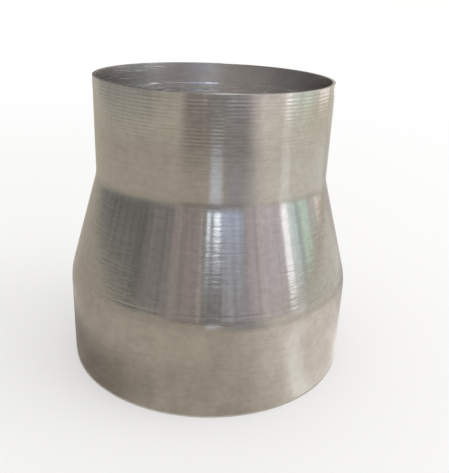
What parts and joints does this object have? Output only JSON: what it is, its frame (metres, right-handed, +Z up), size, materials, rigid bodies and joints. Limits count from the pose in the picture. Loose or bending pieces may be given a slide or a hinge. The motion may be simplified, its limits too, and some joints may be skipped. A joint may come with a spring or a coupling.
{
  "type": "duct reducer",
  "caption": "Spun sheet-metal concentric duct reducer: plain small collar, cone and plain large collar in one open wall, joining a narrower round duct to a wider one.",
  "frame": {"origin": "centre of the large rim, on the surface that the reducer stands on", "axes": "+Z up the reducer's axis from the large end to the small end; +X and +Y are free, because the wall is round"},
  "size_m": [0.125, 0.125, 0.125],
  "materials": {
    "spun_metal": "bare spun sheet, satin, with fine lines round the axis"
  },
  "bodies": {
    "root": {"reducer": "spun_metal"}
  },
  "joints": []
}
